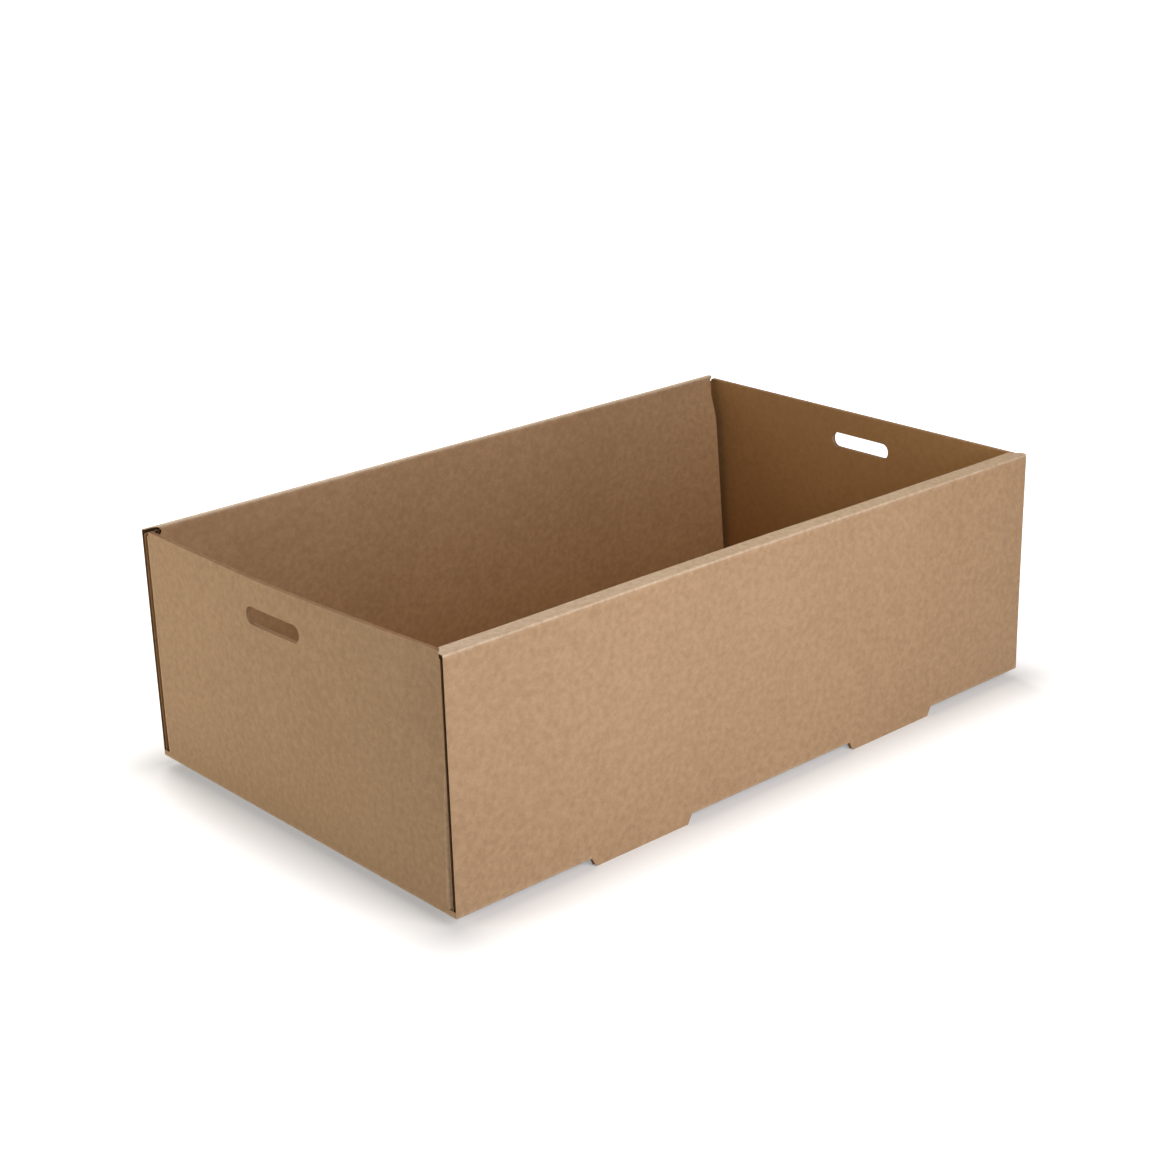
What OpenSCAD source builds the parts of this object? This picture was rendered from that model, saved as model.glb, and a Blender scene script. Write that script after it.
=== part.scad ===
// Open tray folded from one sheet of corrugated board. The long walls roll over a flat rim and come
// down again inside, where their tabs lock into slots in the base. The cut-outs of those slots stay
// on the outer walls and become the feet. The end walls are one board thick, have a hand hole each,
// and end in flaps that are trapped between the two boards of the long walls.
// X runs along the tray, Y across it, Z up. The feet stand on Z = 0.

/* [Tray] */
// Outside length, over the end walls
tray_l = 480; // [340:1:700]
// Outside width, over the long walls
tray_w = 290; // [200:1:450]
// Height of the rim above the underside of the base
rim_h = 150; // [80:1:260]

/* [Board] */
// Thickness of the board
board = 3; // [1.5:0.1:5]
// Inside radius of every fold
fold_r = 0.6; // [0.3:0.1:1.5]
// Outside radius of the folds at the base and at the rim, which are pressed sharp
crease_r = 1; // [0.3:0.1:1.5]
// Free space on each side of a flap that lies between two boards
ply_gap = 1; // [0.4:0.1:2]
// Free space between an edge and the board that it stands on
edge_gap = 0.4; // [0.2:0.1:1]
// How far above the base's folds the cuts between the walls stop
corner_rise = 0.6; // [0.2:0.1:3]

/* [Long walls] */
// Free space between each end of an inner long wall and the end wall
strip_gap = 4.5; // [1.5:0.1:15]

/* [Feet and lock tabs] */
// Distance between the middles of the two feet of a long wall
foot_pitch = 216; // [120:1:240]
// How far the feet lie to the right of a long wall's middle, seen from outside
foot_shift = 4; // [-8:0.5:8]
// Width of a foot where it leaves the wall
foot_w = 78; // [40:1:100]
// How much a foot narrows on each side
foot_taper = 3; // [0:0.5:8]
// Width of the cut beside a foot
cut_gap = 0.5; // [0.3:0.1:1.5]
// Free space between a lock tab and the long edge of its slot
slot_clear = 0.4; // [0.2:0.1:1]
// Free space between a lock tab and each end of its slot
tab_side_gap = 1.5; // [0.5:0.1:4]
// How much a lock tab narrows on each side
tab_taper = 3; // [0:0.5:8]
// How far a lock tab stands out under the base
tab_out = 2; // [0:0.1:2]

/* [End walls] */
// How far the top edge of an end wall lies below the rim
end_drop = 1; // [0:0.1:10]
// Length of the end flaps
flap_l = 85; // [40:1:120]

/* [Hand holes] */
// Width of a hand hole
hole_w = 52; // [30:1:110]
// Height of a hand hole
hole_h = 11.5; // [10.5:0.5:30]
// Radius of the corners of a hand hole
hole_r = 5; // [1:0.1:5]
// Board left above a hand hole
hole_margin = 16; // [8:0.5:40]
// How far a hand hole lies to the left of an end wall's middle, seen from outside
hole_shift = 6; // [-12:0.5:12]

/* [Hidden] */
$fn = 48;

kraft = [0.71, 0.58, 0.44];

// A long wall from outside to inside: outer wall, gap, flap, gap, inner wall
wall_t = 3 * board + 2 * ply_gap;
// Size of a fold, measured on its outside
fold = board + fold_r;

// A slot runs from the outer wall to just past the inner wall, and a foot is as long as its slot
slot_depth = wall_t - board + slot_clear;
foot_drop = slot_depth - board;

base_z = foot_drop;
floor_z = base_z + board;
pan_z = base_z + fold + corner_rise;
rim_z = base_z + rim_h;
end_top = rim_z - end_drop;
flap_top = min(end_top, rim_z - board) - edge_gap;

half_l = tray_l / 2;
half_w = tray_w / 2;
strip_half = half_l - board - strip_gap;

// Outer face of the end flaps, and where the end wall starts to turn into them
flap_y = half_w - board - ply_gap;
panel_half = flap_y - fold;
flap_x = half_l - fold;

slot_end_w = foot_w - 2 * foot_taper;
tab_w = slot_end_w - 2 * tab_side_gap;
tab_z = base_z - tab_out;
hole_z = end_top - hole_margin - hole_h / 2;

// Spare length of a shape that cuts through another
over = 1;

// Section of a fold in the corner between -X and -Y: its inside is round about the origin,
// and its outer corner is rounded by r
module fold_section(r) {
    difference() {
        intersection() {
            translate([-fold, -fold])
                square(fold);
            union() {
                translate([r - fold, r - fold])
                    circle(r = r);
                translate([r - fold, -fold])
                    square(fold);
                translate([-fold, r - fold])
                    square(fold);
            }
        }
        circle(r = fold_r);
    }
}

// Outline drawn in X and Y, raised from z0 to z1
module raised(z0, z1) {
    translate([0, 0, z0])
        linear_extrude(height = z1 - z0)
            children();
}

// Outline drawn in Y and Z, carried along X from x0 to x1
module along_x(x0, x1) {
    translate([x0, 0, 0])
        rotate([90, 0, 90])
            linear_extrude(height = x1 - x0)
                children();
}

// Outline drawn in X and Z, carried along Y from y0 to y1
module along_y(y0, y1) {
    translate([0, y1, 0])
        rotate([90, 0, 0])
            linear_extrude(height = y1 - y0)
                children();
}

// The same shape at both ends of the tray
module both_ends() {
    children();
    mirror([1, 0, 0])
        children();
}

// The same shape at both long sides of the tray
module both_sides() {
    children();
    mirror([0, 1, 0])
        children();
}

// The same shape twice, half a turn apart
module half_turn() {
    children();
    rotate([0, 0, 180])
        children();
}

// The same shape at the place of each foot along a wall
module each_foot() {
    for (side = [-1, 1])
        translate([foot_shift + side * foot_pitch / 2, 0])
            children();
}

// Four-sided outline: w0 wide at v0 and w1 wide at v1
module taper(w0, v0, w1, v1) {
    polygon([[-w0 / 2, v0], [w0 / 2, v0], [w1 / 2, v1], [-w1 / 2, v1]]);
}

// Section of a shallow pan that is filled up: from z0 to z1, with its two lower corners rounded
module pan_section(half, z0, z1, r) {
    translate([r - half, z0])
        square([2 * (half - r), z1 - z0]);
    translate([-half, z0 + r])
        square([2 * half, z1 - z0 - r]);
    for (side = [-1, 1])
        translate([side * (half - r), z0 + r])
            circle(r = r);
}

// Filled pan over a rectangle, with rounded lower edges that meet in mitres at the corners
module filled_pan(half_x, half_y, z0, z1, r) {
    intersection() {
        along_x(-half_x, half_x)
            pan_section(half_y, z0, z1, r);
        along_y(-half_y, half_y)
            pan_section(half_x, z0, z1, r);
    }
}

// Slot in the base and in the fold beside it, in plan, measured from the outside of the long wall
module slot_plan() {
    translate([-foot_w / 2, -over])
        square([foot_w, over + board]);
    taper(foot_w, board, slot_end_w, board + slot_depth);
}

// Base with the folds round it and its four slots
module base() {
    difference() {
        filled_pan(half_l, half_w, base_z, pan_z, crease_r);
        filled_pan(half_l - board, half_w - board, floor_z, pan_z + over, fold_r);
        half_turn()
            translate([0, -half_w, 0])
                raised(base_z - over, pan_z + over)
                    each_foot()
                        slot_plan();
    }
}

// Outer long wall with its feet, seen from the front
module outer_face() {
    neck_w = foot_w - 2 * cut_gap;
    translate([-half_l, pan_z])
        square([tray_l, rim_z - fold - pan_z]);
    each_foot() {
        taper(neck_w, base_z, neck_w, pan_z + over);
        taper(slot_end_w, 0, neck_w, base_z);
    }
}

// Inner long wall with its lock tabs, seen from the front
module inner_face() {
    foot_line = floor_z + edge_gap;
    translate([-strip_half, foot_line])
        square([2 * strip_half, rim_z - fold - foot_line]);
    each_foot()
        taper(tab_w - 2 * tab_taper, tab_z, tab_w, foot_line);
}

// Flat rim between its two folds; behind the outer fold its ends slope back to the inner wall
module rim_band() {
    intersection() {
        along_x(-half_l, half_l)
            translate([-half_w, rim_z - fold]) {
                translate([fold, 0])
                    mirror([0, 1])
                        fold_section(crease_r);
                translate([fold, fold_r])
                    square([wall_t - 2 * fold, board]);
                translate([wall_t - fold, 0])
                    rotate(180)
                        fold_section(crease_r);
            }
        raised(rim_z - fold - over, rim_z + over)
            translate([0, -half_w]) {
                taper(tray_l, 0, tray_l, fold);
                taper(tray_l, fold, 2 * strip_half, wall_t);
            }
    }
}

// Long wall: outer board, rim and inner board
module long_wall() {
    along_y(-half_w, board - half_w)
        outer_face();
    rim_band();
    along_y(wall_t - board - half_w, wall_t - half_w)
        inner_face();
}

// Rounded outline of a hand hole, centred
module hole_outline() {
    for (sx = [-1, 1])
        for (sy = [-1, 1])
            translate([sx * (hole_w / 2 - hole_r), sy * (hole_h / 2 - hole_r)])
                circle(r = hole_r);
    square([hole_w, hole_h - 2 * hole_r], center = true);
    square([hole_w - 2 * hole_r, hole_h], center = true);
}

// End wall with its hand hole, on the right
module end_panel() {
    along_x(half_l - board, half_l)
        difference() {
            translate([-panel_half, pan_z])
                square([2 * panel_half, end_top - pan_z]);
            translate([-hole_shift, hole_z])
                hole_outline();
        }
}

// Flap at the end of an end wall, with the fold that turns it along the long wall
module end_flap() {
    raised(pan_z, flap_top)
        translate([flap_x, -panel_half])
            mirror([1, 0])
                fold_section(board);
    raised(floor_z + edge_gap, flap_top)
        translate([flap_x - flap_l, -flap_y])
            square([flap_l, board]);
}

// The whole folded sheet
module tray() {
    color(kraft) {
        base();
        half_turn()
            long_wall();
        half_turn()
            end_panel();
        both_ends()
            both_sides()
                end_flap();
    }
}

tray();
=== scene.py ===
import math
import bpy
import numpy as np
from mathutils import Matrix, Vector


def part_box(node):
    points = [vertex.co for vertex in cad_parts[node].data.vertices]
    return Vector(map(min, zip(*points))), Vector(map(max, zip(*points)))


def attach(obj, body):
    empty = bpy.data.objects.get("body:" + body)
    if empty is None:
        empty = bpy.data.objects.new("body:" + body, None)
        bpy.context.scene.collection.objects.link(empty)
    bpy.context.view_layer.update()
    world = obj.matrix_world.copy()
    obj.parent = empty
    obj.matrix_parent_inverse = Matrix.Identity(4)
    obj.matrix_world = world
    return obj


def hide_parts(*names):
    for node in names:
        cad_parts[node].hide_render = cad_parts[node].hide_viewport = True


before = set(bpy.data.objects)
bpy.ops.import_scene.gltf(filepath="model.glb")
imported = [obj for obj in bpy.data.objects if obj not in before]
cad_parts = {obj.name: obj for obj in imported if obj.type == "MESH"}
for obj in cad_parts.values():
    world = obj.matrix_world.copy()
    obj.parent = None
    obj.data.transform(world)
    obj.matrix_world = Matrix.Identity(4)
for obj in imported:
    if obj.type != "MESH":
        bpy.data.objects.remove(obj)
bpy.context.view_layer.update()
trayLow, trayHigh = (np.array(corner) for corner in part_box("tray"))
print("frame loaded, tray measures", (trayHigh - trayLow).round(4))

scene = bpy.context.scene
scene.view_settings.view_transform = "Standard"

# where the camera of the photograph stands, how it is turned, and its lens
viewValues = {
    "azimuth": -41.548,  # degrees, 0 looks along +Y
    "elevation": 20.591,
    "roll": -1.540,
    "place": (-0.8434, -0.9354, 0.5656),
    "lens": 65.457,  # mm, for a square frame on a 36 mm sensor
    "sensor": 36.0,
}


def standAt(thing, right, up, back, place):
    # puts a camera or a lamp in its place, looking away from back
    turned = np.eye(4)
    turned[:3] = np.column_stack([right, up, back, place])
    thing.matrix_world = Matrix(turned.tolist())


def makeCamera(values):
    azimuth, elevation, roll = (math.radians(values[k]) for k in ("azimuth", "elevation", "roll"))
    back = np.array([
        math.sin(azimuth) * math.cos(elevation),
        -math.cos(azimuth) * math.cos(elevation),
        math.sin(elevation),
    ])
    right = np.array([math.cos(azimuth), math.sin(azimuth), 0.0])
    up = np.cross(back, right)
    rolledRight = right * math.cos(roll) + up * math.sin(roll)
    rolledUp = up * math.cos(roll) - right * math.sin(roll)
    data = bpy.data.cameras.new("photoCamera")
    data.lens = values["lens"]
    data.sensor_width = values["sensor"]
    camera = bpy.data.objects.new("photoCamera", data)
    scene.collection.objects.link(camera)
    standAt(camera, rolledRight, rolledUp, back, values["place"])
    scene.camera = camera


makeCamera(viewValues)
print("camera placed")

# sizes of the cut and folded board, in metres; length, width and height are the frame's
sheetValues = {
    "board": 0.003,  # thickness
    "foldRadius": 0.0006,  # inside radius of every fold
    "creaseRadius": 0.001,  # outside radius of the folds at the base and the rim
    "plyGap": 0.001,  # free space on each side of a trapped flap
    "edgeGap": 0.0004,  # free space under an edge that stands on the base
    "cornerRise": 0.0006,  # how far above the folds the corner cuts stop
    "stripGap": 0.0045,  # from an inner long wall's end to the end wall
    "footPitch": 0.216,
    "footShift": 0.004,  # feet lie this far to the right of a long wall's middle, seen from outside
    "footWidth": 0.078,
    "footTaper": 0.003,
    "cutGap": 0.0001,  # knife cut beside a foot
    "slotClear": 0.0004,
    "tabSideGap": 0.0015,
    "tabTaper": 0.003,
    "tabOut": 0.002,  # how far a lock tab stands out under the base
    "endDrop": 0.001,  # end wall's top edge below the rim
    "flapLength": 0.085,
    "holeWidth": 0.0505,
    "holeHeight": 0.0108,
    "holeRadius": 0.005,
    "holeMargin": 0.0164,  # board above a hand hole
    "holeShift": 0.006,  # holes lie this far to the left of an end wall's middle, seen from outside
}

# how finely the sheet is divided
gridValues = {
    "cornerSteps": 5,  # round the outer corner of a fold
    "innerSpread": (0.12, 0.88),  # share of a fold's inside arc that they lie on
    "lastStep": 0.7,  # place of a fold's last step on its straight part
    "baseSteps": (0.001, 0.003),  # finer rows above the folds at the base
    "rimSteps": (0.0015, 0.004),  # and below the folds at the rim
    "frameWidth": 0.066,  # patch of finer faces round a hand hole
    "frameHeight": 0.022,
    "ringSteps": 5,  # from a hand hole to the patch's border
    "ringPower": 1.3,
    "sharpAngle": 35.0,  # degrees, sharper edges are shaded as hard ones
    "tiny": 1e-6,  # metres, less than any two samples differ by
    "weldGrid": 1e6,  # steps per metre by which welded points are told apart
}

# the layers that show at a cut edge
edgeValues = {
    "liner": 0.0004,  # thickness of each outer paper
    "depth": 0.0030,  # how far one looks in between the papers
    "shoulder": 0.0001,  # step from a paper to the bottom of the open flutes
    "flutePitch": 0.0065,
    "fluteSwing": 0.0007,  # how far the wavy paper swings to each side
    "flutePaper": 0.0002,
    "fluteFoot": 1.5,  # the wavy paper's thickness at the bottom
    "fluteDepth": 0.6,  # its edge lies this share of the depth inside
}

# how open the flutes are at the edges of each panel, as a share of that depth
openValues = {
    "base": 0.5,
    "baseFold": 0.2,
    "longWall": 1.0,
    "rimStart": 0.6,
    "rimFold": 0.06,
    "rimBand": 0.4,
    "foot": 0.3,
    "tab": 0.3,
    "endWall": 0.15,
    "flap": 0.4,
}

# how far the paper is rubbed pale, 0 to 1; on the rim band and the folds beside it this is mostly painted sheen,
# the pale look of light glancing off the top, with some rubbing
wearAndSheenValues = {
    "acrossFold": (0, 0.15, 0.8, 1, 1, 1, 0.8, 0.15, 0),
    # painted sheen: the rim band is made pale, as light glancing off its top would make it, more than by rubbing
    "rim": 0.78,
    "rimWearAndSheenRamp": (-0.6, 1.8),  # rise of wear and painted sheen from a wall to the rim band, cut off at 0 and at the rim's wear and sheen
    "baseFold": 0.6,
    "flapFold": 0.5,
    "innerSide": 0.3,  # share of the wear and painted sheen on the other side of the sheet
}

# how the real board gives: outwards for a wall that bows, in metres
bendValues = {
    "sag": 0.0004,  # of the base
    "nearEndTop": 0.0020,  # the near end wall's top edge, where it is furthest out
    "nearEndCrest": 0.020,  # which is this far behind its middle
    "nearCorner": 0.0065,  # its front top corner is drawn inwards
    "nearRearCorner": 0.0002,  # its rear top corner a little
    "nearRearClose": 0.0008,  # and pressed against the rear wall
    "nearEndBelly": 0.0020,  # more outward bow below the hand hole
    "farEndBelly": 0.0015,
    "rearRise": 0.0030,  # the rear rim band tips back: its inner crease is up
    "rearDrop": 0.0010,  # and its outer crease down
    "frontRise": 0.0018,  # the front wall's left end stands higher
    "rearGrow": (0.0035, -0.0008),  # the rear inner wall's left and right ends reach further
    "lean": 0.0010,  # inner long walls come in a little at the bottom
    "rearLean": 0.0095,  # the free right end of the rear one more
    "rearCurl": 0.0050,  # and it curls in below its fold
    "rearLeanFrom": 0.130,
    "ripple": 0.0003,  # slow waves in every long wall
    "rippleWaves": ((5.1, 1.0, 1.0), (11.3, 0.6, 2.0)),  # pace, share and start of each wave
}

# how gradually the bends and shifts set in: lengths in metres, and paces and powers
easeValues = {
    "footReach": 0.02,  # columns beside a foot that shift with it
    "holeReach": 0.005,  # columns beside a hand hole that shift with it
    "holeRise": 0.05,  # height over which an end wall's columns lean to the hole
    "archPower": 0.8,  # lower is flatter along the middle of an end wall
    "crestPower": 1.5,  # higher is flatter at the crest of the near end wall
    "endPace": 1.1,
    "closeLength": 0.03,
    "closeRise": 0.02,
    "growLength": 0.005,
    "curlPace": 4.5,
    "leanPace": 1.15,
    "tiltPace": 1.2,
    "risePace": 0.7,
}

board = sheetValues["board"]
halfBoard = board / 2
fold = board + sheetValues["foldRadius"]  # size of a fold on its outside
wallThick = 3 * board + 2 * sheetValues["plyGap"]
slotDepth = wallThick - board + sheetValues["slotClear"]
halfLength, halfWidth, rimZ = trayHigh
baseZ = slotDepth - board
floorZ = baseZ + board
panZ = baseZ + fold + sheetValues["cornerRise"]
footLine = floorZ + sheetValues["edgeGap"]
endTop = rimZ - sheetValues["endDrop"]
flapTop = min(endTop, rimZ - board) - sheetValues["edgeGap"]
holeZ = endTop - sheetValues["holeMargin"] - sheetValues["holeHeight"] / 2
baseHalfLength, baseHalfWidth = halfLength - fold, halfWidth - fold
stripHalf = halfLength - board - sheetValues["stripGap"]
outerWall, innerWall = halfWidth - halfBoard, halfWidth - wallThick + halfBoard
endPlane = halfLength - halfBoard
flapY = halfWidth - board - sheetValues["plyGap"]
panelHalf = flapY - fold
slotInner = halfWidth - board - slotDepth
footAt = sheetValues["footPitch"] / 2
footHalf = sheetValues["footWidth"] / 2
neckHalf = footHalf - sheetValues["cutGap"]
slotEndHalf = footHalf - sheetValues["footTaper"]
tabHalf = slotEndHalf - sheetValues["tabSideGap"]
frameHalfWidth, frameHalfHeight = gridValues["frameWidth"] / 2, gridValues["frameHeight"] / 2
tiny = gridValues["tiny"]
nearBase, overBase = (panZ + step for step in gridValues["baseSteps"])


def samples(*stops):
    # (value, steps) pairs: from each value to the next in that many equal steps
    runs = [np.linspace(a, b, n, endpoint=False) for (a, n), (b, _) in zip(stops, stops[1:])]
    return np.concatenate(runs + [[stops[-1][0]]])


def mirrored(half):
    # samples from 0 outwards, with the same ones on the other side of 0
    return np.concatenate([-half[:0:-1], half])


def between(values):
    return (values[1:] + values[:-1]) / 2


def smooth(t):
    t = np.clip(t, 0.0, 1.0)
    return t * t * (3 - 2 * t)


def foldSection(outside):
    # steps across a fold about the middle of its inside arc: along the outer face, round its corner and on
    corner = np.linspace(0, math.pi / 2, gridValues["cornerSteps"])
    straight = fold - outside
    lastStep = gridValues["lastStep"] * straight
    outA = np.concatenate([[fold, fold], straight + outside * np.cos(corner), [lastStep, 0]])
    outB = outA[::-1]
    spread = np.linspace(*gridValues["innerSpread"], gridValues["cornerSteps"] + 2)
    turn = np.concatenate([[0], spread, [1]]) * math.pi / 2
    inA, inB = sheetValues["foldRadius"] * np.cos(turn), sheetValues["foldRadius"] * np.sin(turn)
    middle = np.stack([outA + inA, outB + inB]) / 2
    facing = np.stack([outA - inA, outB - inB]) / board
    run = np.concatenate([[0], np.cumsum(np.hypot(*np.diff(middle)))])
    return *middle, *facing, run


creaseA, creaseB, creaseFaceA, creaseFaceB, creaseRun = foldSection(sheetValues["creaseRadius"])
creaseWear = np.array(wearAndSheenValues["acrossFold"])
roundA, roundB, roundFaceA, roundFaceB, roundRun = foldSection(board)
wallFlat = baseHalfWidth + creaseRun[-1] + sheetValues["cornerRise"]  # where a long wall starts on the flat sheet
wallX = mirrored(samples(
    (0, 7), (footAt - footHalf, 1), (footAt - neckHalf, 1), (footAt - tabHalf, 8),
    (footAt + tabHalf, 1), (footAt + neckHalf, 1), (footAt + footHalf, 9),
    (baseHalfLength, 1), (endPlane, 1), (halfLength, 0),
))  # columns of a long wall, before they follow its feet
baseY = mirrored(samples(
    (0, 13), (frameHalfWidth, 10), (slotInner, 1), (panelHalf, 1), (baseHalfWidth, 0),
))
endY = baseY[np.abs(baseY) < panelHalf + tiny]
endZ = samples(
    (panZ, 1), (nearBase, 1), (overBase, 12),
    (holeZ - frameHalfHeight, 16), (holeZ + frameHalfHeight, 2), (flapTop, 1), (endTop, 0),
)
flapZ = endZ[endZ < flapTop + tiny]

panels = []


def addPanel(place, facing, flat, wornAndSheen=0.0, shift=(0.0, 0.0, 0.0), depth=1.0, dark=0.0, keep=None):
    # a stretch of the board's middle surface on a grid: place, facing, place on the flat sheet, wear with painted
    # sheen, and bend; dark asks for painted shade in the open flutes of its cut edges
    size = np.broadcast_shapes(*(np.shape(part) for part in place))

    def full(*parts):
        return np.stack([np.broadcast_to(part, size) for part in parts], -1).reshape(-1, len(parts))

    corner = np.arange(size[0] * size[1]).reshape(size)
    quads = np.stack([corner[:-1, :-1], corner[:-1, 1:], corner[1:, 1:], corner[1:, :-1]], -1)
    kept = np.ones(quads.shape[:2], bool) if keep is None else np.broadcast_to(keep, quads.shape[:2])
    panels.append({
        "place": full(*place), "facing": full(*facing), "flat": full(*flat), "shift": full(*shift),
        "wornAndSheen": full(wornAndSheen), "depth": full(depth), "dark": full(dark), "quads": quads[kept],
    })


def atFoot(x):
    # distance from the middle of the nearer foot
    return np.abs(x) - footAt


def slotX(x, inset):
    # columns over a foot are drawn together as its slot narrows; inset is measured from the tray's outside
    taper = np.clip((inset - board) / slotDepth, 0, 1)
    share = 1 - sheetValues["footTaper"] / footHalf * taper
    near = np.abs(atFoot(x)) < footHalf + tiny
    return np.where(near, np.sign(x) * (footAt + atFoot(x) * share), x)


def footMoved(x, y):
    # columns follow the feet, which are shifted one way at the front and the other way at the rear
    reach = baseHalfLength - footAt - footHalf - easeValues["footReach"]
    share = np.clip((baseHalfLength - np.abs(x)) / reach, 0, 1)
    return x - sheetValues["footShift"] * np.clip(y / slotInner, -1, 1) * share


def holeMoved(side, y, z):
    # columns of an end wall follow its hand hole, but not at the base
    share = np.clip((slotInner - np.abs(y)) / (slotInner - frameHalfWidth - easeValues["holeReach"]), 0, 1)
    return y - side * sheetValues["holeShift"] * share * np.clip((z - panZ) / easeValues["holeRise"], 0, 1)


def endBow(side, y, z):
    # outward bow of an end wall: a belly below its top, and for the near one a top edge with a crest
    high = np.clip((z - panZ) / (endTop - panZ), 0, 1)
    arch = np.cos(np.clip(y / panelHalf, -1, 1) * math.pi / 2) ** easeValues["archPower"]
    belly = arch * np.sin(high ** 2 * math.pi)
    if side > 0:
        return side * bendValues["farEndBelly"] * belly
    crest, out = bendValues["nearEndCrest"], bendValues["nearEndTop"]
    front = np.clip((crest - y) / (crest + panelHalf), 0, 1) ** easeValues["crestPower"]
    rear = np.clip((y - crest) / (panelHalf - crest), 0, 1) ** easeValues["crestPower"]
    top = out - (out + bendValues["nearCorner"]) * front - (out + bendValues["nearRearCorner"]) * rear
    return side * (top * smooth(high * easeValues["endPace"]) * high + bendValues["nearEndBelly"] * belly)


def rearClose(side, y, z):
    # the near end wall's rear edge lies close to the rear wall, except where both leave the base
    length = easeValues["closeLength"]
    closer = bendValues["nearRearClose"] * smooth((y - panelHalf + length) / length)
    return float(side < 0) * closer * np.clip((z - panZ) / easeValues["closeRise"], 0, 1)


def makeBase():
    # flat panel with four tapered slots along its long sides
    columns, y = wallX[2:-2], baseY[:, None]
    x = footMoved(slotX(columns[None, :], halfWidth - np.abs(y)), y)
    atSide = np.abs(between(baseY)) > slotInner
    overFoot = np.abs(atFoot(between(columns))) < footHalf
    inSlot = atSide[:, None] & overFoot[None, :]
    sag = -bendValues["sag"] * np.cos(x / halfLength * math.pi / 2) * np.cos(y / halfWidth * math.pi / 2)
    addPanel(
        (x, y, baseZ + halfBoard), (0, 0, -1), (x, y),
        shift=(0, 0, sag), depth=openValues["base"], keep=~inSlot,
    )


def baseFoldRows():
    # rows of a fold at the base's edge, with one more where the corner cuts stop
    parts = (creaseA, creaseB, creaseFaceA, creaseFaceB, creaseRun)
    rows = [np.append(part, part[-1])[:, None] for part in parts]
    rise = np.append(np.zeros(len(creaseA)), sheetValues["cornerRise"])[:, None]
    return *rows, rise, wearAndSheenValues["baseFold"] * np.append(creaseWear, 0)[:, None]


def makeLongFold(side):
    # quarter round from the base up to a long wall; its ends run out to the mitre at the corners
    down, up, faceDown, faceOut, run, rise, wearAndSheen = baseFoldRows()
    columns, out = wallX[1:-1], baseHalfWidth + up
    x = footMoved(slotX(columns[None, :], halfWidth - out), side * out)
    mitre = baseHalfLength + up[:, 0]
    x[:, 0], x[:, -1] = -mitre, mitre
    outsideFoot = np.abs(atFoot(between(columns))) > footHalf
    addPanel(
        (x, side * out, baseZ + fold - down + rise), (0, side * faceOut, -faceDown),
        (x, side * (baseHalfWidth + run + rise)),
        wornAndSheen=wearAndSheen, depth=openValues["baseFold"], keep=outsideFoot[None, :],
    )


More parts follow.
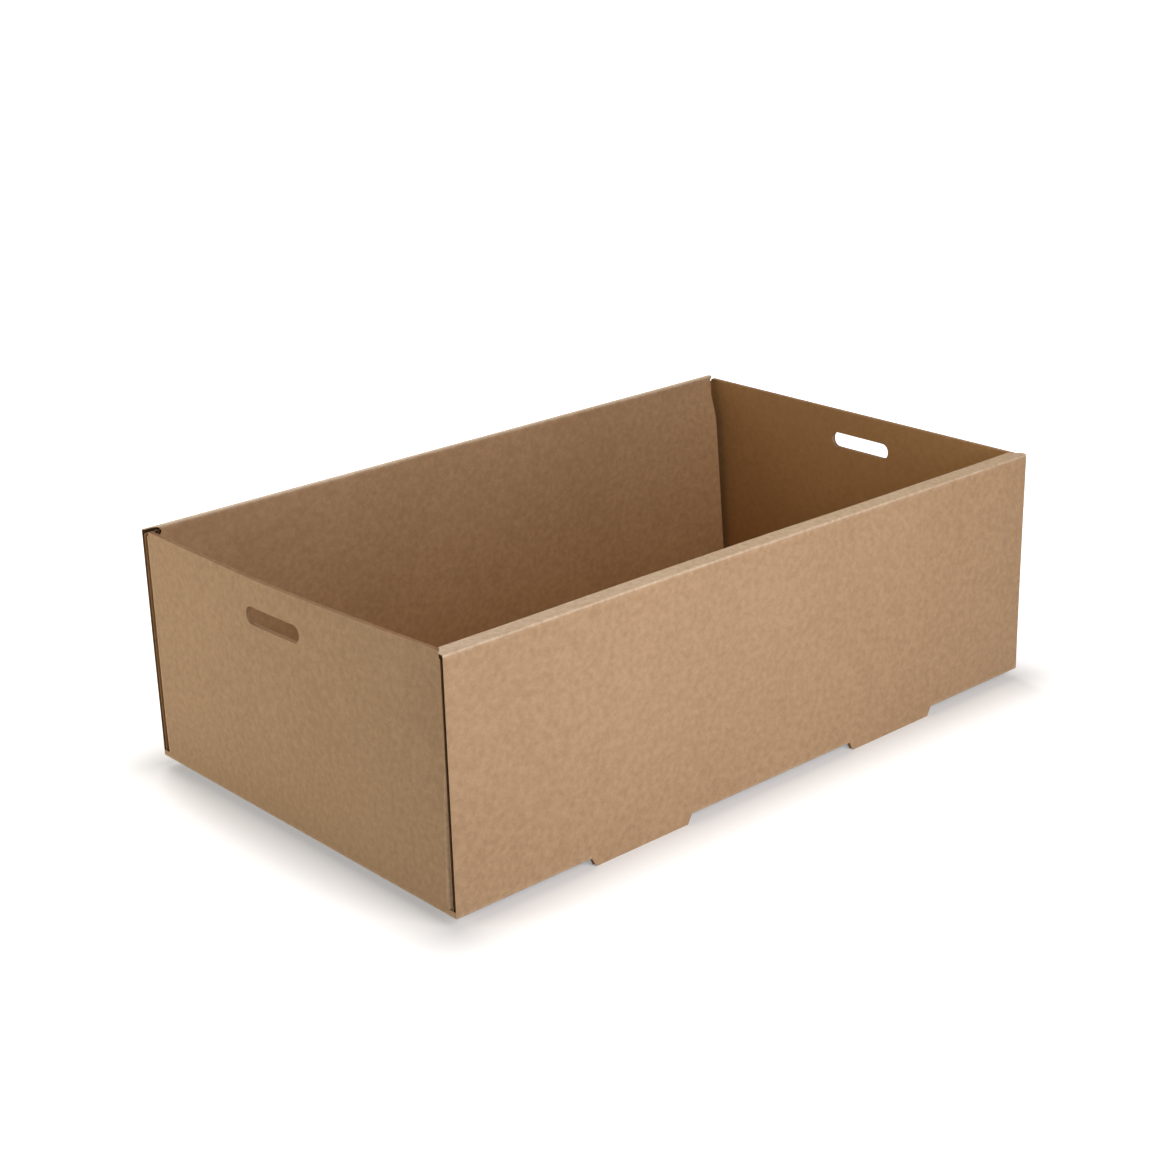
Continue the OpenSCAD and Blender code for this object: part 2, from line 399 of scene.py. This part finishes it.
def makeLongWall(side):
    # profile across a long wall, carried along X: up the outer board, over the rim, down the inner board
    rimFold, bandIn = rimZ - fold, halfWidth - wallThick + fold
    nearRim, underRim = (rimFold - step for step in gridValues["rimSteps"])
    up = samples((panZ, 1), (nearBase, 1), (overBase, 14), (underRim, 1), (nearRim, 1), (rimFold, 0))
    down = samples((rimFold, 1), (nearRim, 1), (underRim, 24), (footLine, 0))
    band = samples((baseHalfWidth, 3), (bandIn, 0))
    flatUp, flatBand, flatDown = np.ones(len(up) - 1), np.ones(len(band) - 2), np.ones(len(down) - 1)

    def rows(*runs):
        return np.concatenate(runs)[:, None]

    out = rows(flatUp * outerWall, baseHalfWidth + creaseA, band[1:-1], bandIn - creaseB, flatDown * innerWall)
    z = rows(up[:-1], rimFold + creaseB, flatBand * (rimZ - halfBoard), rimFold + creaseA, down[1:])
    faceOut = rows(flatUp, creaseFaceA, flatBand * 0, -creaseFaceB, -flatDown)
    faceUp = rows(flatUp * 0, creaseFaceB, flatBand, creaseFaceA, flatDown * 0)
    # the rim band and its folds are painted paler: painted sheen of light on the top, with rubbing at the creases
    bandWearAndSheen = np.linspace(*wearAndSheenValues["rimWearAndSheenRamp"], len(creaseWear)).clip(0, wearAndSheenValues["rim"])
    rimWearAndSheen = np.maximum(creaseWear, bandWearAndSheen)
    wornAndSheen = rows(flatUp * 0, rimWearAndSheen, flatBand * wearAndSheenValues["rim"], rimWearAndSheen[::-1], flatDown * 0)
    crushed = np.full(len(creaseA), openValues["rimFold"])
    crushed[:2] = openValues["longWall"], openValues["rimStart"]
    depth = rows(
        flatUp * openValues["longWall"], crushed, flatBand * openValues["rimBand"],
        crushed[::-1], flatDown * openValues["longWall"],
    )
    path = rows([0], np.cumsum(np.hypot(np.diff(out[:, 0]), np.diff(z[:, 0]))))
    foldStart, backEnd = path[len(up) - 1, 0], path[-len(down), 0]
    bandStart = foldStart + creaseRun[-1]
    across = np.clip((path - foldStart) / (backEnd - foldStart), 0, 1)  # 0 outside, 1 inside
    # behind the outer fold the ends slope back to the inner wall
    sloped = np.clip((path - bandStart) / (backEnd - bandStart), 0, 1)
    rear = float(side > 0)
    ends = np.where(np.abs(wallX) > baseHalfLength - tiny, np.sign(wallX), 0)[None, :]
    grow = rear * np.where(wallX < 0, *bendValues["rearGrow"])[None, :]
    grow = grow * smooth((path - backEnd) / easeValues["growLength"])
    x = footMoved(wallX[None, :] - ends * (sloped * (halfLength - stripHalf) - grow), side * halfWidth)
    # bends: waves, an inner board that leans in, and a rim that tilts
    high = np.clip((z - panZ) / (rimFold - panZ), 0, 1)
    low = 1 - high
    along = x / halfLength
    waves = [share * np.sin(pace * along + start * side) for pace, share, start in bendValues["rippleWaves"]]
    ripple = bendValues["ripple"] * sum(waves)
    leanFrom = bendValues["rearLeanFrom"]
    freeEnd = smooth((x - leanFrom) / (stripHalf - leanFrom))
    curl = bendValues["rearCurl"] * smooth(easeValues["curlPace"] * low) + bendValues["rearLean"] * low
    leaning = -across * (bendValues["lean"] * smooth(easeValues["leanPace"] * low) + rear * freeEnd * curl)
    tip = across * bendValues["rearRise"] - (1 - across) * bendValues["rearDrop"]
    tilt = rear * tip * smooth(high * easeValues["tiltPace"])
    rise = bendValues["frontRise"] * smooth(easeValues["risePace"] * (1 - along))
    tilt = tilt + (1 - rear) * rise * high
    outward = ripple * np.sin(high * math.pi) * (1 - across) + ripple * high * across + leaning
    # dark=1.0 asks for painted shade in the open flutes of this wall's cut edges
    addPanel(
        (x, side * out, z), (0, side * faceOut, faceUp), (x, side * (wallFlat + path)),
        wornAndSheen=wornAndSheen, shift=(0, side * outward, tilt), depth=depth, dark=1.0,
    )
    makeLocks(side, wallFlat + path[-1, 0], leaning[-1])


def makeLocks(side, innerEnd, leaning):
    # feet and lock tabs; innerEnd is where the inner board ends on the flat sheet, and leaning how its edge leans
    footZ = samples((panZ, 2), (baseZ, 2), (0.0, 0))[:, None]
    footShare = 1 - (neckHalf - slotEndHalf) / neckHalf * np.clip((baseZ - footZ) / baseZ, 0, 1)
    tabZ = samples((footLine, 2), (baseZ - sheetValues["tabOut"], 0))[:, None]
    tabShare = 1 - sheetValues["tabTaper"] / tabHalf * (footLine - tabZ) / (footLine - tabZ[-1])
    for middle in (-footAt, footAt):
        away = wallX - middle
        foot = np.abs(away) < neckHalf + tiny
        tab = np.abs(away) < tabHalf + tiny
        # foot: the wall goes straight on down, narrowing below the base
        footX = footMoved(middle + away[foot][None, :] * footShare, side * halfWidth)
        addPanel(
            (footX, side * outerWall, footZ), (0, side, 0),
            (footX, side * (wallFlat + footZ - panZ)), depth=openValues["foot"],
        )
        # lock tab: the inner board goes on down through its slot
        tabX = footMoved(middle + away[tab][None, :] * tabShare, side * halfWidth)
        addPanel(
            (tabX, side * innerWall, tabZ), (0, -side, 0), (tabX, side * (innerEnd + footLine - tabZ)),
            shift=(0, side * leaning[tab][None, :], 0), depth=openValues["tab"],
        )


def makeEndFold(side):
    # quarter round from the base up to an end wall
    down, up, faceDown, faceOut, run, rise, wearAndSheen = baseFoldRows()
    columns = np.concatenate([[-baseHalfWidth], baseY, [baseHalfWidth]])
    y = np.repeat(columns[None, :], len(up), axis=0)
    mitre = baseHalfWidth + up[:, 0]
    y[:, 0], y[:, -1] = -mitre, mitre
    addPanel(
        (side * (baseHalfLength + up), y, baseZ + fold - down + rise), (side * faceOut, 0, -faceDown),
        (side * (baseHalfLength + run + rise), y), wornAndSheen=wearAndSheen, depth=openValues["baseFold"],
    )


def upTheSheet(side, z):
    # where a height on an end wall lies on the flat sheet
    return side * (baseHalfLength + creaseRun[-1] + z - baseZ - fold)


def makeEndWall(side):
    # upright wall on a grid, with a patch left out for the hand hole
    z = endZ[:, None]
    y = holeMoved(side, endY[None, :], z)
    besideHole = np.abs(between(endY)) < frameHalfWidth
    atHole = np.abs(between(endZ) - holeZ) < frameHalfHeight
    inPatch = atHole[:, None] & besideHole[None, :]
    addPanel(
        (side * endPlane, y, z), (side, 0, 0), (upTheSheet(side, z), y),
        shift=(endBow(side, y, z), rearClose(side, y, z), 0), depth=openValues["endWall"], keep=~inPatch,
    )


def makeHandHole(side):
    # ring of faces from the patch's border to the rounded outline of the hole
    patchY = endY[np.abs(endY) < frameHalfWidth + tiny]
    patchZ = endZ[np.abs(endZ - holeZ) < frameHalfHeight + tiny] - holeZ
    borderY = np.concatenate([
        patchY, np.full(len(patchZ) - 2, patchY[-1]), patchY[::-1], np.full(len(patchZ) - 1, patchY[0]),
    ])
    borderZ = np.concatenate([
        np.full(len(patchY), patchZ[0]), patchZ[1:-1], np.full(len(patchY), patchZ[-1]), patchZ[-2::-1],
    ])
    width, height, radius = (sheetValues[k] for k in ("holeWidth", "holeHeight", "holeRadius"))
    inY, inZ = borderY * width / gridValues["frameWidth"], borderZ * height / gridValues["frameHeight"]
    coreY = np.clip(inY, radius - width / 2, width / 2 - radius)
    coreZ = np.clip(inZ, radius - height / 2, height / 2 - radius)
    away = np.hypot(inY - coreY, inZ - coreZ)
    outlineY, outlineZ = coreY + radius * (inY - coreY) / away, coreZ + radius * (inZ - coreZ) / away
    t = np.linspace(0, 1, gridValues["ringSteps"])[:, None] ** gridValues["ringPower"]
    z = holeZ + outlineZ + (borderZ - outlineZ) * t
    y = holeMoved(side, outlineY + (borderY - outlineY) * t, z)
    addPanel(
        (side * endPlane, y, z), (side, 0, 0), (upTheSheet(side, z), y),
        shift=(endBow(side, y, z), 0, 0), depth=openValues["endWall"],
    )


def makeEndFlaps(side):
    # flaps: round the upright fold and along the inside of the outer long walls
    flapX = samples((baseHalfLength, 9), (baseHalfLength - sheetValues["flapLength"], 0))[1:]
    straight, z = np.ones(len(flapX)), flapZ[:, None]

    def columns(*runs):
        return np.concatenate(runs)[None, :]

    x = columns(baseHalfLength + roundA, flapX)
    y = columns(panelHalf + roundB, straight * (flapY - halfBoard))
    faceX, faceY = columns(roundFaceA, straight * 0), columns(roundFaceB, straight)
    run = columns(roundRun, roundRun[-1] + baseHalfLength - flapX)
    wearAndSheen = columns(wearAndSheenValues["flapFold"] * creaseWear, straight * 0)
    fade = np.clip((x - baseHalfLength) / easeValues["closeLength"] + 1, 0, 1)
    for hand in (-1, 1):
        edge = hand * panelHalf
        addPanel(
            (side * x, hand * y, z), (side * faceX, hand * faceY, 0),
            (upTheSheet(side, z), hand * (panelHalf + run)), wornAndSheen=wearAndSheen,
            shift=(endBow(side, edge, z), rearClose(side, edge, z) * fade, 0), depth=openValues["flap"],
        )


def weldSheet():
    # panels that share an edge become one sheet; at a mitre the facing takes each panel's own way out
    starts = np.cumsum([0] + [len(panel["place"]) for panel in panels[:-1]])
    joined = {k: np.concatenate([panel[k] for panel in panels]) for k in panels[0] if k != "quads"}
    quads = np.concatenate([panel["quads"] + start for panel, start in zip(panels, starts)])
    used = np.unique(quads)
    renumber = np.full(len(joined["place"]), -1)
    renumber[used] = np.arange(len(used))
    quads = renumber[quads]
    joined = {k: values[used] for k, values in joined.items()}
    rounded = np.round(joined["place"] * gridValues["weldGrid"]).astype(np.int64)
    _, first, index = np.unique(rounded, axis=0, return_index=True, return_inverse=True)
    index = index.ravel()
    sheet = {"place": joined["place"][first], "flat": joined["flat"][first]}
    most, least = np.zeros((2, len(first), 3))
    np.maximum.at(most, index, joined["facing"])
    np.minimum.at(least, index, joined["facing"])
    sheet["facing"] = np.where(most > -least, most, least)
    shift = np.zeros((len(first), 3))
    np.add.at(shift, index, joined["shift"])
    sheet["shift"] = shift / np.bincount(index, minlength=len(first))[:, None]
    for k in ("wornAndSheen", "dark"):
        sheet[k] = np.zeros(len(first))
        np.maximum.at(sheet[k], index, joined[k][:, 0])
    sheet["depth"] = np.ones(len(first))
    np.minimum.at(sheet["depth"], index, joined["depth"][:, 0])
    # every face is turned to the side that its corners face
    quads = index[quads]
    corners = sheet["place"][quads]
    across = np.cross(corners[:, 2] - corners[:, 0], corners[:, 3] - corners[:, 1])
    wrong = (across * sheet["facing"][quads].sum(1)).sum(1) < 0
    quads[wrong] = quads[wrong][:, ::-1]
    # a face with a doubled corner becomes a triangle, with that corner last
    doubled = quads == np.roll(quads, -1, axis=1)
    narrow = doubled.any(1)
    order = (np.arange(4)[None, :] + 1 + np.argmax(doubled, 1)[:, None]) % 4
    turned = np.take_along_axis(quads, order, 1)
    quads = np.where((narrow & ~doubled[:, 3])[:, None], turned, quads)
    sheet["quads"] = quads[~narrow]
    sheet["triangles"] = quads[narrow][:, :3]
    return sheet


def thickenSheet(sheet):
    # both papers lie half a board from the middle surface; a free edge gets a section of paper, open flute, paper
    count = len(sheet["place"])
    middle, facing = sheet["place"] + sheet["shift"], sheet["facing"]
    faces, narrow = sheet["quads"], sheet["triangles"]
    edges = [faces[:, [k, (k + 1) % 4]] for k in range(4)] + [narrow[:, [k, (k + 1) % 3]] for k in range(3)]
    edges = np.concatenate(edges)
    _, where, uses = np.unique(np.sort(edges, axis=1), axis=0, return_index=True, return_counts=True)
    start, end = edges[where[uses == 1]].T  # of the free edges
    run = sheet["place"][end] - sheet["place"][start]
    inward = np.cross(facing[start] + facing[end], run)
    inward /= np.linalg.norm(inward, axis=1, keepdims=True)
    total = np.zeros((count, 3))
    np.add.at(total, start, inward)
    np.add.at(total, end, inward)
    rim = np.unique(start)
    reach = np.linalg.norm(total[rim], axis=1, keepdims=True)
    inDirection = total[rim] / np.maximum(reach, tiny)
    deep = edgeValues["depth"] * sheet["depth"][rim] * np.clip(reach[:, 0] / 2, 0, 1) ** 2
    wave = edgeValues["fluteSwing"] * np.sin(sheet["flat"][rim, 0] / edgeValues["flutePitch"] * 2 * math.pi)
    lip = halfBoard - edgeValues["liner"]
    gap, paper, ridge = lip - edgeValues["shoulder"], edgeValues["flutePaper"], edgeValues["fluteDepth"]
    foot = paper * edgeValues["fluteFoot"]
    heights = [lip, gap, wave + foot, wave + paper, wave - paper, wave - foot, -gap, -lip]
    depths = [0.0, 1.0, 1.0, ridge, ridge, 1.0, 1.0, 0.0]
    section = np.stack([
        middle[rim] + facing[rim] * np.broadcast_to(h, len(rim))[:, None] + inDirection * (deep * d)[:, None]
        for h, d in zip(heights, depths)
    ])
    place = np.full(count, -1)
    place[rim] = np.arange(len(rim))
    a, b = place[start], place[end]
    layers = [2 * count + k * len(rim) + np.arange(len(rim)) for k in range(len(heights))]
    layers = [rim] + layers + [count + rim]
    strips = [
        np.column_stack([upper[a], lower[a], lower[b], upper[b]]) for upper, lower in zip(layers, layers[1:])
    ]
    points = np.concatenate([middle + facing * halfBoard, middle - facing * halfBoard, section.reshape(-1, 3)])
    quads = np.concatenate([faces, faces[:, ::-1] + count] + strips)
    triangles = np.concatenate([narrow, narrow[:, ::-1] + count])
    runs = [len(faces), len(faces), len(quads) - 2 * len(faces), len(narrow), len(narrow)]
    finish = np.repeat([0, 1, 2, 0, 1], runs)  # outer paper, inner paper, cut edge; both papers again
    flat = np.concatenate([sheet["flat"]] * 2 + [np.tile(sheet["flat"][rim], (len(heights), 1))])
    innerWornAndSheen = sheet["wornAndSheen"] * wearAndSheenValues["innerSide"]
    wornAndSheen = np.concatenate([sheet["wornAndSheen"], innerWornAndSheen, np.zeros(len(heights) * len(rim))])
    inside = np.outer(np.ceil(depths), sheet["dark"][rim]).ravel()  # painted shade: open flutes at the cut edges of panels marked dark get a near-black colour
    inside = np.concatenate([np.zeros(2 * count), inside])
    return points, quads, triangles, finish, flat, wornAndSheen, inside


def makeTray():
    makeBase()
    for side in (-1, 1):
        makeLongFold(side)
        makeLongWall(side)
        makeEndFold(side)
        makeEndWall(side)
        makeHandHole(side)
        makeEndFlaps(side)
    points, quads, triangles, finish, flat, wornAndSheen, inside = thickenSheet(weldSheet())
    mesh = bpy.data.meshes.new("foldedTray")
    mesh.from_pydata(points.tolist(), [], quads.tolist() + triangles.tolist())
    mesh.polygons.foreach_set("material_index", finish.astype(np.int32))
    mesh.polygons.foreach_set("use_smooth", np.ones(len(mesh.polygons), bool))
    corners = np.empty(len(mesh.loops), np.int32)
    mesh.loops.foreach_get("vertex_index", corners)
    mesh.uv_layers.new(name="flatSheet").data.foreach_set("uv", flat[corners].ravel().astype(np.float32))
    for name, values in (("wornAndSheen", wornAndSheen), ("inside", inside)):
        mesh.attributes.new(name, "FLOAT", "POINT").data.foreach_set("value", values.astype(np.float32))
    mesh.update()
    mesh.set_sharp_from_angle(angle=math.radians(gridValues["sharpAngle"]))
    tray = bpy.data.objects.new("foldedTray", mesh)
    scene.collection.objects.link(tray)
    return tray


foldedTray = makeTray()
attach(foldedTray, "root")
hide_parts("tray")
print("tray folded:", len(foldedTray.data.vertices), "points,", len(foldedTray.data.polygons), "faces")


# small helpers for node trees
def addNode(tree, kind, **settings):
    node = tree.nodes.new(kind)
    for name, value in settings.items():
        if name in node.bl_rna.properties:
            setattr(node, name, value)
        else:
            node.inputs[name].default_value = value
    return node


def feed(tree, socket, value):
    # a socket takes a link from another socket, or else a fixed value
    if isinstance(value, bpy.types.NodeSocket):
        tree.links.new(value, socket)
    else:
        socket.default_value = value


def noise(tree, vector, scale, detail, roughness):
    node = addNode(tree, "ShaderNodeTexNoise", Scale=scale, Detail=detail, Roughness=roughness)
    feed(tree, node.inputs["Vector"], vector)
    return node.outputs["Fac"]


def mapRange(tree, value, fromLow, fromHigh, toLow=0.0, toHigh=1.0):
    node = addNode(tree, "ShaderNodeMapRange")
    names = ("Value", "From Min", "From Max", "To Min", "To Max")
    for name, number in zip(names, (value, fromLow, fromHigh, toLow, toHigh)):
        feed(tree, node.inputs[name], number)
    return node.outputs["Result"]


def combine(tree, operation, a, b):
    node = addNode(tree, "ShaderNodeMath", operation=operation)
    feed(tree, node.inputs[0], a)
    feed(tree, node.inputs[1], b)
    return node.outputs[0]


def combineVectors(tree, operation, *vectors):
    node = addNode(tree, "ShaderNodeVectorMath", operation=operation)
    for socket, vector in zip(node.inputs, vectors):
        feed(tree, socket, vector)
    return node.outputs


def mixColour(tree, factor, a, b):
    node = addNode(tree, "ShaderNodeMix", data_type="RGBA")
    for number, value in ((0, factor), (6, a), (7, b)):  # the colour sockets of this node are 6, 7 and output 2
        feed(tree, node.inputs[number], (*value, 1.0) if isinstance(value, tuple) else value)
    return node.outputs[2]


def addBump(tree, shader, height, values):
    bump = addNode(tree, "ShaderNodeBump", Strength=values["bump"], Distance=values["bumpHeight"])
    feed(tree, bump.inputs["Height"], height)
    feed(tree, shader.inputs["Normal"], bump.outputs["Normal"])


def newMaterial(name):
    material = bpy.data.materials.new(name)
    material.use_nodes = True
    return material, material.node_tree, material.node_tree.nodes["Principled BSDF"]


# paper fibre, used by every board finish: scale, detail, roughness and share in the shade of each layer
fibreValues = {
    "cloud": (14.0, 2.0, 0.5, 0.12),
    "mottle": (250.0, 5.0, 0.65, 0.58),
    "grain": (1300.0, 2.0, 0.6, 0.18),
    "fibre": (1.0, 3.0, 0.55, 0.12),
    "stretch": (300.0, 1500.0, 1.0),  # of the fibres, along and across the flat sheet
    "speck": (700.0, 1.0, 0.4),
    "speckRange": (0.74, 0.82),
    "heightShare": 0.5,  # of the grain and of the fibres in the surface's height
}


def makeFibreGroup(values):
    group = bpy.data.node_groups.new("paperFibre", "ShaderNodeTree")
    for name in ("Shade", "Height", "Speck"):
        group.interface.new_socket(name, in_out="OUTPUT", socket_type="NodeSocketFloat")
    spot = addNode(group, "ShaderNodeTexCoord").outputs
    out = group.nodes.new("NodeGroupOutput")
    stretch = addNode(group, "ShaderNodeMapping", Scale=values["stretch"])
    feed(group, stretch.inputs["Vector"], spot["UV"])
    layers, shade = {}, 0.0
    for name in ("cloud", "mottle", "grain", "fibre"):
        *look, share = values[name]
        vector = stretch.outputs["Vector"] if name == "fibre" else spot["Object"]
        layers[name] = noise(group, vector, *look)
        shade = combine(group, "ADD", shade, combine(group, "MULTIPLY", layers[name], share))
    grain, fibre = (combine(group, "MULTIPLY", layers[k], values["heightShare"]) for k in ("grain", "fibre"))
    speck = noise(group, spot["Object"], *values["speck"])
    feed(group, out.inputs["Shade"], shade)
    feed(group, out.inputs["Height"], combine(group, "ADD", grain, fibre))
    feed(group, out.inputs["Speck"], mapRange(group, speck, *values["speckRange"]))
    return group


fibreGroup = makeFibreGroup(fibreValues)

linerValues = {
    "name": "kraftLiner",
    "dark": (0.408, 0.256, 0.137),
    "light": (0.509, 0.327, 0.182),
    "shadeRange": (0.40, 0.60),  # fibre shades from all dark to all light
    "speck": (0.300, 0.165, 0.075),
    "speckShare": 0.30,
    # pale colour of rubbed paper, also used as painted sheen on the rim band
    "wornAndSheen": (0.760, 0.600, 0.430),
    "wornAndSheenRange": (0.20, 0.70),  # fibre shades that wear and painted sheen leave and take
    "wornAndSheenShare": 1.00,
    "roughness": 0.62,
    "roughSwing": 0.06,
    "roughRange": (0.3, 0.7),  # surface heights between which it swings
    "specular": 0.18,
    "bump": 0.10,
    "bumpHeight": 0.0004,
    "fluteShow": 0.04,  # how far the flutes print through
}
# the paper on the other side of the sheet, which shows inside the end walls and on the base, is browner
innerLinerValues = {
    **linerValues,
    "name": "innerLiner",
    "dark": (0.386, 0.214, 0.082),
    "light": (0.444, 0.252, 0.100),
}


def makeLiner(values):
    material, tree, shader = newMaterial(values["name"])
    fibre = addNode(tree, "ShaderNodeGroup", node_tree=fibreGroup).outputs
    colour = mixColour(tree, mapRange(tree, fibre["Shade"], *values["shadeRange"]), values["dark"], values["light"])
    specks = combine(tree, "MULTIPLY", fibre["Speck"], values["speckShare"])
    colour = mixColour(tree, specks, colour, values["speck"])
    # rubbed wear, and painted sheen on the rim band, mix in the pale colour
    wearAndSheen = addNode(tree, "ShaderNodeAttribute", attribute_name="wornAndSheen").outputs["Fac"]
    rubbedAndSheen = combine(tree, "MULTIPLY", wearAndSheen, mapRange(tree, fibre["Shade"], *values["wornAndSheenRange"]))
    rubbedAndSheen = combine(tree, "MULTIPLY", rubbedAndSheen, values["wornAndSheenShare"])
    feed(tree, shader.inputs["Base Color"], mixColour(tree, rubbedAndSheen, colour, values["wornAndSheen"]))
    # a wave texture repeats itself every pi / 10
    pace = math.pi / 10 / edgeValues["flutePitch"]
    scaled = addNode(tree, "ShaderNodeMapping", Scale=(pace, 0.0, 0.0))
    feed(tree, scaled.inputs["Vector"], addNode(tree, "ShaderNodeUVMap", uv_map="flatSheet").outputs["UV"])
    flute = addNode(tree, "ShaderNodeTexWave", Scale=1.0, wave_type="BANDS", bands_direction="X")
    feed(tree, flute.inputs["Vector"], scaled.outputs["Vector"])
    printed = combine(tree, "MULTIPLY", flute.outputs["Fac"], values["fluteShow"])
    addBump(tree, shader, combine(tree, "ADD", fibre["Height"], printed), values)
    rough = values["roughness"] - values["roughSwing"], values["roughness"] + values["roughSwing"]
    feed(tree, shader.inputs["Roughness"], mapRange(tree, fibre["Height"], *values["roughRange"], *rough))
    shader.inputs["Specular IOR Level"].default_value = values["specular"]
    return material


cutValues = {
    "name": "cutBoard",
    "dark": (0.430, 0.265, 0.145),
    "light": (0.520, 0.335, 0.195),
    "shadeRange": (0.36, 0.64),
    "inside": (0.040, 0.024, 0.013),  # painted shade: the colour of open flutes that lie in the dark
    "insideRange": (0.15, 0.55),
    "roughness": 0.9,
    "specular": 0.05,
    "bump": 0.25,
    "bumpHeight": 0.0004,
}


def makeCutEdge(values):
    material, tree, shader = newMaterial(values["name"])
    fibre = addNode(tree, "ShaderNodeGroup", node_tree=fibreGroup).outputs
    colour = mixColour(tree, mapRange(tree, fibre["Shade"], *values["shadeRange"]), values["dark"], values["light"])
    # painted shade: the open flutes of cut edges on dark-marked panels are mixed towards a near-black colour
    inside = addNode(tree, "ShaderNodeAttribute", attribute_name="inside").outputs["Fac"]
    colour = mixColour(tree, mapRange(tree, inside, *values["insideRange"]), colour, values["inside"])
    feed(tree, shader.inputs["Base Color"], colour)
    addBump(tree, shader, fibre["Height"], values)
    shader.inputs["Roughness"].default_value = values["roughness"]
    shader.inputs["Specular IOR Level"].default_value = values["specular"]
    return material


for finish in (makeLiner(linerValues), makeLiner(innerLinerValues), makeCutEdge(cutValues)):
    foldedTray.data.materials.append(finish)
print("board finished")

# pale floor: as seen it has a glow of its own, so that it is white except in the tray's shadow; the glow is turned
# down near the tray's outline, a painted shadow all round it
floorValues = {
    "half": 12.0,
    "colour": (0.60, 0.59, 0.58),
    "glowAndPaintedShadow": (0.25, 1.00),  # beside the tray, where it is turned down as painted shadow, and far from it
    "paintedShadowReach": (-0.005, 0.055),  # distances from the tray's outline over which the painted shadow fades into the full glow
}


def seenRay(tree):
    # 1 for what the camera sees, straight or by reflection, and 0 for what lights the tray
    ray = addNode(tree, "ShaderNodeLightPath").outputs
    seen = combine(tree, "MAXIMUM", ray["Is Camera Ray"], ray["Is Glossy Ray"])
    return combine(tree, "MAXIMUM", seen, ray["Is Transmission Ray"])


def makeFloor(values):
    half = values["half"]
    mesh = bpy.data.meshes.new("paleFloor")
    corners = [(-half, -half, 0.0), (half, -half, 0.0), (half, half, 0.0), (-half, half, 0.0)]
    mesh.from_pydata(corners, [], [(0, 1, 2, 3)])
    floor = bpy.data.objects.new("paleFloor", mesh)
    scene.collection.objects.link(floor)
    material, tree, shader = newMaterial("paleFloor")
    shader.inputs["Roughness"].default_value = 1.0
    shader.inputs["Specular IOR Level"].default_value = 0.0
    shader.inputs["Base Color"].default_value = (*values["colour"], 1.0)
    shader.inputs["Emission Color"].default_value = (1.0, 1.0, 1.0, 1.0)
    # distance from the tray's outline: the part of the place that lies outside it, in X and Y
    place = addNode(tree, "ShaderNodeTexCoord").outputs["Object"]
    quarter = combineVectors(tree, "ABSOLUTE", place)[0]
    beyond = combineVectors(tree, "SUBTRACT", quarter, (halfLength, halfWidth, 0.0))[0]
    outside = combineVectors(tree, "MAXIMUM", beyond, (0.0, 0.0, 0.0))[0]
    away = combineVectors(tree, "LENGTH", outside)["Value"]
    # painted shadow: the glow is lower near the tray's outline
    glowAndPaintedShadow = mapRange(tree, away, *values["paintedShadowReach"], *values["glowAndPaintedShadow"])
    feed(tree, shader.inputs["Emission Strength"], combine(tree, "MULTIPLY", seenRay(tree), glowAndPaintedShadow))
    mesh.materials.append(material)


makeFloor(floorValues)

# soft studio light: a dim white surround, a near lamp for each side that the camera sees, and lamps that fill
lightValues = {
    "surround": 0.055,
    "steep": 0.95,  # a lamp that looks down more steeply than this is turned by Y instead of Z
    "lamps": [
        # name, place, aim, size, watts, colour
        ("frontLamp", (-0.10, -0.78, 0.34), (0.0, 0.0, 0.08), 0.50, 3.75, (0.93, 0.99, 1.15)),
        ("highLamp", (-0.05, -1.00, 0.90), (0.0, 0.0, 0.08), 0.60, 3.3, (1.00, 0.76, 0.46)),
        ("leftLamp", (-1.00, 0.26, 0.27), (-0.2, 0.0, 0.08), 0.30, 3.2, (1.00, 0.97, 0.90)),
        ("backLamp", (0.45, 1.60, 1.10), (0.0, 0.0, 0.08), 1.00, 24.0, (1.00, 0.98, 0.96)),
        ("topLamp", (0.00, 0.00, 2.00), (0.0, 0.0, 0.08), 0.40, 2.6, (1.00, 0.84, 0.60)),
    ],
}


def makeLight(values):
    world = bpy.data.worlds.new("whiteSurround")
    scene.world = world
    world.use_nodes = True
    tree = world.node_tree
    background = tree.nodes["Background"]
    background.inputs["Color"].default_value = (1.0, 1.0, 1.0, 1.0)
    strength = mapRange(tree, seenRay(tree), 0.0, 1.0, values["surround"], 1.0)
    feed(tree, background.inputs["Strength"], strength)
    for name, place, aim, size, watts, colour in values["lamps"]:
        data = bpy.data.lights.new(name, "AREA")
        data.energy, data.size, data.color = watts, size, colour
        lamp = bpy.data.objects.new(name, data)
        scene.collection.objects.link(lamp)
        back = np.array(place) - np.array(aim)
        back /= np.linalg.norm(back)
        right = np.cross((0.0, 1.0, 0.0) if abs(back[2]) > values["steep"] else (0.0, 0.0, 1.0), back)
        right /= np.linalg.norm(right)
        standAt(lamp, right, np.cross(back, right), back, place)


makeLight(lightValues)
print("floor and light set")
